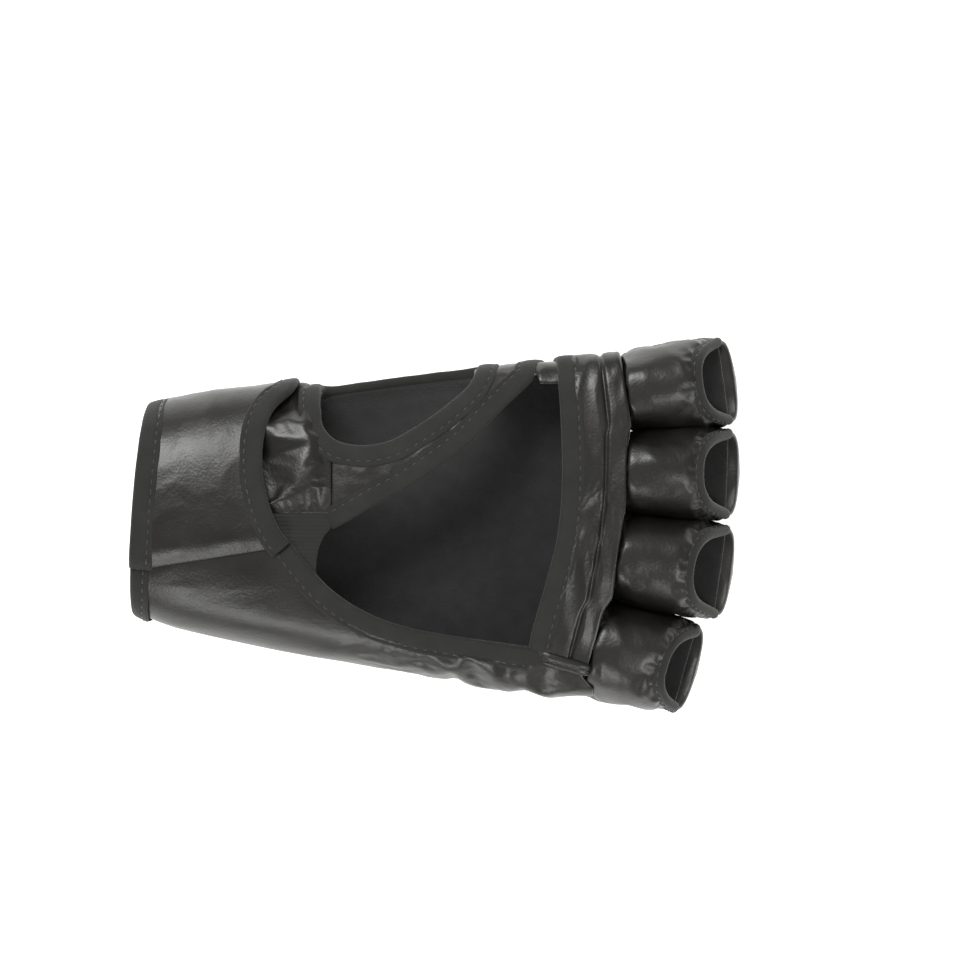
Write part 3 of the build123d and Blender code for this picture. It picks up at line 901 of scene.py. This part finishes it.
def body_tapes():
    """Folded tapes on the body's edges, the leather welt and the loop half of the fastener."""
    full = np.linspace(0, 2 * pi, 240, endpoint=False)
    x = np.full_like(full, 3.0)
    for _ in range(4):
        x = x_at(wrist_edge, form_point(x, full, SHELL)[:, 1]) + 0.6
    body_tape("wrist_binding", edge_frames(x, full, SHELL, True), 5.4, 2.4, 1, True)

    run = front_edge[front_edge[:, 1] <= -4.0]
    tail = ulnar_seam[ulnar_seam[:, 0] < 137][1:]
    run = np.vstack([run, tail])
    frames = edge_frames(run[:, 0], turn_at(*run.T), SHELL)
    body_tape("ulnar_edge_binding", frames, WIDE_TAPE, 2.2, -1)

    # Rolled leather welt over the seam between the palm bar and the ulnar panel
    run = ulnar_seam[(ulnar_seam[:, 0] > 134) & (ulnar_seam[:, 0] < 152.5)]
    frames = edge_frames(run[:, 0], turn_at(run[:, 0], run[:, 1] + 0.6), SHELL)
    piece = tape("ulnar_seam_welt", frames, NARROW_TAPE, 1.0, leather, -1, lift=0.5, tuck=1.6)
    settle(piece, "glove", "leather")

    frames = edge_frames(*to_side_seam(palm_edge[palm_edge[:, 0] < 132], PALM_TAPE_END), SHELL)
    body_tape("palm_edge_binding", frames, TAPE_WIDTH, 2.2, 1)

    # The thumb hole's tape: up over the palm side, and back along the side seam
    down = np.linspace(0, 1, 26)
    start_x, end_x = thumb_edge[0, 0] - 0.3, thumb_edge[-1, 0]
    low_start = split_turn(np.array([start_x]), 1)[0]
    low_end = split_turn(np.array([end_x]), 1)[0]
    top_turn = turn_at(*thumb_edge.T)
    bottom_x = np.linspace(end_x - 2, start_x + 2, 60)
    corner_points = [
        np.stack([np.full(26, start_x), mix(low_start + 0.05, top_turn[0], down)], -1),
        np.stack([thumb_edge[1:, 0], top_turn[1:]], -1),
        np.stack([np.full(25, end_x), mix(top_turn[-1], low_end + 0.05, down[1:])], -1),
        np.stack([bottom_x, split_turn(bottom_x, 1)], -1),
    ]
    loop = np.vstack(corner_points)
    for _ in range(6):
        loop = (np.roll(loop, 1, 0) + 2 * loop + np.roll(loop, -1, 0)) / 4
    frames = edge_frames(*loop.T, SHELL, True)
    body_tape("thumb_hole_binding", frames, TAPE_WIDTH, 2.2, -1, True, 0.1)

    frames = edge_frames(*to_side_seam(bar_edge[::-1], BAR_TAPE_END), SHELL)
    body_tape("palm_bar_binding", frames, WIDE_TAPE, 2.2, -1, lift=0.45)

    patch = lambda s, t: (mix(11.0, 41.0, s), mix(-2.35, -0.75, t))
    piece = panel("loop_patch", (30, 40), patch, SHELL + 0.9, 0.9, loop_pile)
    settle(piece, "glove", "loop_patch", "loop_patch")


# -------------------- the strap


TAIL_TURN = -2.0  # the tail's end, round from the seam on the palm over the thumb side
BEND = ((0.0, 0.0, 0.019), (0.0, 0.0, 0.009))  # places in metres between which strap turns to tail


def strap_x(y, turn, side):
    """The strap's wrist-side (0) or front (1) edge at a turn."""
    top = x_at(wrist_edge, y) + 0.4 if side == 0 else x_at(front_edge, y) - 0.4
    under = x_at(tail_wrist_side, y) if side == 0 else x_at(tail_front_side, y)
    return mix(top, under, ease((0.15 - turn) / 0.6))


def strap_area(outer, inset=0.0):
    """The whole strap, from its seam to the tail's end, with the tail's corners rounded."""

    def where(s, t):
        x = mix(5.0, 48.0, s)
        for _ in range(6):
            first = turn_at(x, seam_y(x) - STRAP_OVERLAP, outer - STRAP_SINK)
            turn = mix(first, TAIL_TURN, t)
            y = form_point(x, turn, outer)[:, 1]
            low, high = strap_x(y, turn, 0) + inset, strap_x(y, turn, 1) - inset
            round_end = np.clip((t - 0.93) / 0.07, 0, 1)
            pull = 9.0 * (1 - np.sqrt(np.clip(1 - round_end**2, 0, 1)))
            x = mix(low + pull, high - pull, s)
        return x, turn

    return where


def strap_height(full):
    """Strap height over the form, which sinks to the seam on the palm (t = 0)."""
    return lambda t: full - STRAP_SINK * (1 - np.clip(t / 0.09, 0, 1)) ** 2


def strap_pieces():
    """One leather strap that bends where it turns under the wrist, with its lining and tape."""
    bent = ("strap", "tail", *BEND)

    def strap_dents(s, t, points):
        inside = hem(s, t, 0.06)
        long_folds = crease(points, 26.0, (1.2, 0.45, 0.45), 21.0)
        ripples = crease(points, 9.0, (0.9, 0.7, 0.7), 23.0)
        return inside * (0.35 + 0.5 * long_folds + 0.16 * ripples) - 0.2 * (1 - inside)

    area = strap_area(STRAP_OUTER, 1.5)
    piece = panel("strap_cover", (56, 130), area, strap_height(STRAP_OUTER), 1.3, leather, strap_dents)
    settle(piece, bent, "leather", "strap_cover", "tail_cover")
    piece = panel("strap_lining", (36, 90), strap_area(STRAP_MID, 2.0), strap_height(STRAP_MID), 0.7, knit)
    settle(piece, bent, "lining", "strap_lining")

    hooks = lambda s, t: (mix(12.0, 41.0, s), mix(-1.85, -0.85, t))
    piece = panel("tail_hook_patch", (28, 30), hooks, STRAP_INNER + 0.5, 0.5, hook_pile)
    settle(piece, "tail", "tail_hook_patch", "tail_hook_patch")

    # One tape runs down the front edge, round the tail's end and back up the wrist edge
    area = strap_area(STRAP_OUTER)
    t = np.linspace(0.012, 1, 170)
    front_run = np.stack(area(np.ones_like(t), t), -1)
    end_run = np.stack(area(np.linspace(1, 0, 30)[1:-1], np.ones(28)), -1)
    wrist_run = np.stack(area(np.zeros_like(t), t[::-1]), -1)
    run = np.vstack([front_run, end_run, wrist_run])
    at = np.concatenate([t, np.ones(28), t[::-1]])
    frames = edge_frames(*run.T, strap_height(STRAP_OUTER)(at))
    piece = tape("strap_binding", frames, WIDE_TAPE, 1.9, tape_cloth, 1, tuck=0.8)
    settle(piece, bent, "binding_tape", "strap_palm_binding", "strap_wrist_binding", "tail_binding")


# -------------------- the fingers


class Finger:
    """One finger's root, splay and heights, as the frame has them."""

    def __init__(self, name):
        u, v, self.splay, self.length = FINGERS[name]
        self.name = name
        self.x, self.y = plan(u, v)
        bulge = (1 - abs(v) ** roundness(u)) ** (1 / roundness(u))
        self.pad_top = float(height(u) - back_drop(u) * bulge)
        self.loop_top = float(height(u) + (palm_rise(u) + SHELL) * bulge)

    def in_row(self, local):
        """Points in the frame of local ones (along, across, height)."""
        c, s = cos(radians(self.splay)), sin(radians(self.splay))
        x = self.x - ORIGIN + local[:, 0] * c - local[:, 1] * s
        y = self.y + local[:, 0] * s + local[:, 1] * c
        return np.stack([x, y, local[:, 2]], -1)

    def turned(self, local):
        """Directions in the frame of local ones."""
        c, s = cos(radians(self.splay)), sin(radians(self.splay))
        x = local[:, 0] * c - local[:, 1] * s
        y = local[:, 0] * s + local[:, 1] * c
        return np.stack([x, y, local[:, 2]], -1)

    def root_bend(self, start, end):
        """What a piece blends over: from the glove to the finger, between two places along it."""
        root = self.in_row(np.array([[start, 0, 0], [end, 0, 0]])) * MM
        return ("glove", self.name, tuple(root[0]), tuple(root[1]))


# Half widths on the little finger's side and on the thumb side: at the root, then at the tip
HALVES = {
    "index": ((12.4, 13.6), (15.0, 14.8)),
    "middle": ((14.7, 12.4), (15.8, 15.0)),
    "ring": ((14.5, 15.0), (15.9, 16.2)),
    "little": ((17.2, 14.7), (15.2, 16.0)),
}


def finger_half(finger, along, toward):
    """Half width where toward is below 0 (little finger's side) or above it (thumb side)."""
    share = ease(along / 30.0)
    (low_root, high_root), (low_tip, high_tip) = HALVES[finger.name]
    return np.where(toward < 0, mix(low_root, low_tip, share), mix(high_root, high_tip, share))


def curl(finger, along):
    """Rise toward the palm at a place along the finger, at rest."""
    return 5.0 * (np.maximum(along, 0) / finger.length) ** 2


def finger_pad(finger):
    """Padded cover: a crowned block with a round tip, quilted once across."""
    top, bottom = finger.pad_top - 1.0, finger.pad_top - 16.6
    seed = 31.0 + finger.splay

    def place(s, t):
        along = mix(-5.0, finger.length, s)
        turn = 2 * pi * t
        end = np.clip((along - (finger.length - 9.0)) / 9.0, 0, 1)
        tip = np.sqrt(np.clip(1 - end**2.2, 0, 1))
        c, q = np.cos(turn), np.sin(turn)
        half = finger_half(finger, along, c) - 0.3 - 5.5 * (1 - tip)
        deep = (top - bottom) / 2
        power = 4.2
        r = (np.abs(c / half) ** power + np.abs(q / deep) ** power) ** (-1 / power)
        r = r * (0.72 + 0.28 * np.clip((along + 5.0) / 6.0, 0, 1) ** 0.5)
        closing = np.clip((1 - s) / 0.035, 0, 1) ** 0.5
        across = r * c * mix(1.0, closing, end > 0.5)
        z = (top + bottom) / 2 + r * q * mix(0.62 + 0.38 * tip, closing, end > 0.97) + curl(finger, along)
        quilt = np.exp(-(((along - 1.0) / 1.3) ** 2)) + 0.8 * np.exp(-(((along - 19.0) / 1.2) ** 2))
        local = np.stack([along, across, z], -1)
        normal = unit(np.stack([np.zeros_like(c), c * np.abs(c) ** 2, q * np.abs(q) ** 2 + 1e-6], -1))
        points = finger.in_row(local)
        folds = crease(points, 13.0, (1.1, 0.8, 0.8), seed)
        local = local + normal * (0.5 * folds - 1.1 * quilt + 0.1)[:, None]
        points = finger.in_row(local)
        points[:, 2] = np.maximum(points[:, 2], 0.1)
        return points, finger.turned(normal)

    piece = sheet(f"{finger.name}_pad_cover", 46, 72, place, closed=True)
    bpy.ops.object.mode_set(mode="EDIT")
    bpy.ops.mesh.select_all(action="DESELECT")
    bpy.ops.mesh.select_non_manifold()
    bpy.ops.mesh.edge_face_add()
    bpy.ops.object.mode_set(mode="OBJECT")
    finish_with(piece, leather)
    bend = finger.root_bend(-4.0, 3.0)
    settle(piece, bend, "leather", f"{finger.name}_pad_cover", f"{finger.name}_pad_foam")


def finger_lining(finger):
    """Knit lining over the padding, under the finger."""

    def place(s, t):
        along = mix(-3.0, finger.length - 5.0, s)
        across = mix(-1, 1, t) * (finger_half(finger, along, t - 0.5) - 1.6)
        z = finger.pad_top + curl(finger, along) - 1.8 * np.abs(mix(-1, 1, t)) ** 6 + 0.1
        local = np.stack([along, across, z], -1)
        points = finger.in_row(local)
        points[:, 2] += 0.3 * crease(points, 7.0, seed=44.0)
        return points, np.tile([0.0, 0.0, 1.0], (len(s), 1))

    piece = sheet(f"{finger.name}_pad_lining", 30, 20, place, 0.9)
    finish_with(piece, knit)
    settle(piece, finger.root_bend(-4.0, 3.0), "lining", f"{finger.name}_pad_lining")


def loop_edge(finger, z):
    """How far the loop's open end reaches at a height: furthest down at the pad."""
    down = np.maximum(finger.loop_top - z, 0.0)
    return np.minimum(24.0 + 0.62 * down, finger.length - 4.5)


def loop_arch(finger, along, turn):
    """Point of the loop's arch and its outward direction, in local terms."""
    c, q = np.cos(turn), np.sin(turn)
    half = finger_half(finger, along, c)
    half = half * (0.86 + 0.14 * (1 - np.minimum(q, 1.0)) ** 2.5)
    foot = finger.pad_top - 2.6 + curl(finger, along)
    rise = finger.loop_top - 2.0 * along / finger.length - foot
    n = 2.6
    r = (np.abs(c / half) ** n + np.abs(q / rise) ** n) ** (-1 / n)
    local = np.stack([along, r * c, foot + r * q], -1)
    normal = np.stack([np.zeros_like(c), c / half, q / rise], -1)
    return local, unit(normal)


def finger_loop(finger):
    """Leather loop: a puffed half tube that gathers into the finger root's seam."""
    seed = 61.0 + finger.splay * 1.7

    def local_place(s, t):
        turn = mix(0.0, pi, t)
        along = mix(-2.5, 24.0, s)
        for _ in range(4):
            local, normal = loop_arch(finger, along, turn)
            along = mix(-2.5, loop_edge(finger, local[:, 2]), s)
        return local, normal, along

    def place(s, t):
        local, normal, along = local_place(s, t)
        points = finger.in_row(local)
        folds = crease(points, 15.0, (1.0, 0.75, 0.75), seed)
        gathers = crease(points, 6.0, (0.3, 1.2, 1.0), seed + 4) * np.exp(-((along / 9.0) ** 2))
        puff = 1.6 * np.sin(pi * np.clip(s, 0, 1)) ** 0.6
        pinch = 1.5 * np.exp(-(((along + 0.2) / 1.8) ** 2))
        inside = hem(s, t, 0.08, "r")
        relief = puff * 0.8 + inside * (0.7 * folds + 0.45 * gathers) - pinch - 0.5
        local = local + normal * relief[:, None]
        return finger.in_row(local), finger.turned(normal)

    loose = lambda s, t: hem(s, t, 0.12, "lrbt") * np.where(s > 0.88, 0.6, 1.0)
    piece = sheet(f"{finger.name}_loop", 40, 64, place, 1.4, cloth=(loose, 0.07, 1.5))
    finish_with(piece, leather)
    settle(piece, finger.root_bend(-3.0, 2.0), "leather", f"{finger.name}_loop")

    # Tape on the open end
    t = np.linspace(0, 1, 90)
    local, normal, _ = local_place(np.ones_like(t), t)
    frames = frames_along(finger.in_row(local), finger.turned(normal))
    toward_root = finger.turned(np.array([[-1.0, 0, 0]]))[0]
    side = 1 if (frames[3] @ toward_root).mean() > 0 else -1
    piece = tape(f"{finger.name}_loop_binding", frames, NARROW_TAPE, 1.7, tape_cloth, side)
    settle(piece, finger.name, "binding_tape", f"{finger.name}_loop_binding")


# -------------------- camera, light and floor

LENS, SENSOR = 101.0, 36.0
CAMERA_PLACE = (-0.012, 0.015, 0.925)
FLOOR_HEIGHT, FLOOR_GLOW = -0.0004, 0.62
SKY_COLOUR, SKY_STRENGTH = (1.0, 0.985, 0.925, 1), 0.43
# Name, place, what it looks at, size, power in watts
LIGHTS = [
    ("top_box", (-0.25, 0.55, 0.75), (0, 0, 0.03), (0.5, 0.35), 7.0),
    ("side_box", (0.5, -0.35, 0.7), (0, 0, 0.03), (0.3, 0.5), 3.0),
    ("low_box", (-0.25, -0.8, 0.5), (-0.03, -0.03, 0.03), (0.5, 0.25), 3.0),
]


def add_area_light(name, place, target, size, power):
    """A rectangular soft box turned to its target."""
    light = bpy.data.lights.new(name, "AREA")
    light.shape = "RECTANGLE"
    light.size, light.size_y = size
    light.energy = power
    made = bpy.data.objects.new(name, light)
    made.location = place
    made.rotation_euler = (Vector(target) - Vector(place)).to_track_quat("-Z", "Y").to_euler()
    bpy.context.scene.collection.objects.link(made)


def set_scene():
    """Camera straight over the palm, a white floor and soft boxes."""
    camera = bpy.data.cameras.new("camera")
    camera.lens, camera.sensor_width = LENS, SENSOR
    holder = bpy.data.objects.new("camera", camera)
    holder.location = CAMERA_PLACE
    bpy.context.scene.collection.objects.link(holder)
    bpy.context.scene.camera = holder

    bpy.ops.object.select_all(action="DESELECT")
    bpy.ops.mesh.primitive_plane_add(size=6)
    floor = bpy.context.object
    floor.name = "floor"
    floor.location.z = FLOOR_HEIGHT
    material, tree, shader, place = new_material("matte_white_board", 0.9)
    mottle = node(tree, "ShaderNodeTexNoise", inputs={**scaled(tree, place, 300.0), "Detail": 2.0})
    ramp(tree, shader, mottle.outputs["Fac"], [(0.2, "#fbfbfa"), (0.8, "#ffffff")])
    shader.inputs["Emission Color"].default_value = (1, 1, 1, 1)
    shader.inputs["Emission Strength"].default_value = FLOOR_GLOW
    finish_with(floor, material)

    world = bpy.data.worlds.new("studio")
    bpy.context.scene.world = world
    world.use_nodes = True
    background = world.node_tree.nodes["Background"]
    background.inputs["Color"].default_value = SKY_COLOUR
    background.inputs["Strength"].default_value = SKY_STRENGTH
    for light in LIGHTS:
        add_area_light(*light)
    bpy.context.scene.view_settings.view_transform = "Standard"


# -------------------- assembly

set_scene()
body_pieces()
body_tapes()
strap_pieces()
for finger_name in FINGERS:
    a_finger = Finger(finger_name)
    finger_pad(a_finger)
    finger_lining(a_finger)
    finger_loop(a_finger)

# A row of stitches moves with its tape
for tape_name, points, directions, closed in stitches:
    row = sew(f"{tape_name}_stitches", points, directions, thread, closed=closed)
    carrier = bpy.data.objects[tape_name]
    bodies = body_of(carrier)
    if len(bodies) == 1:
        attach(row, bodies[0])
    else:
        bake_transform(row, "strap", "tail", *BEND)
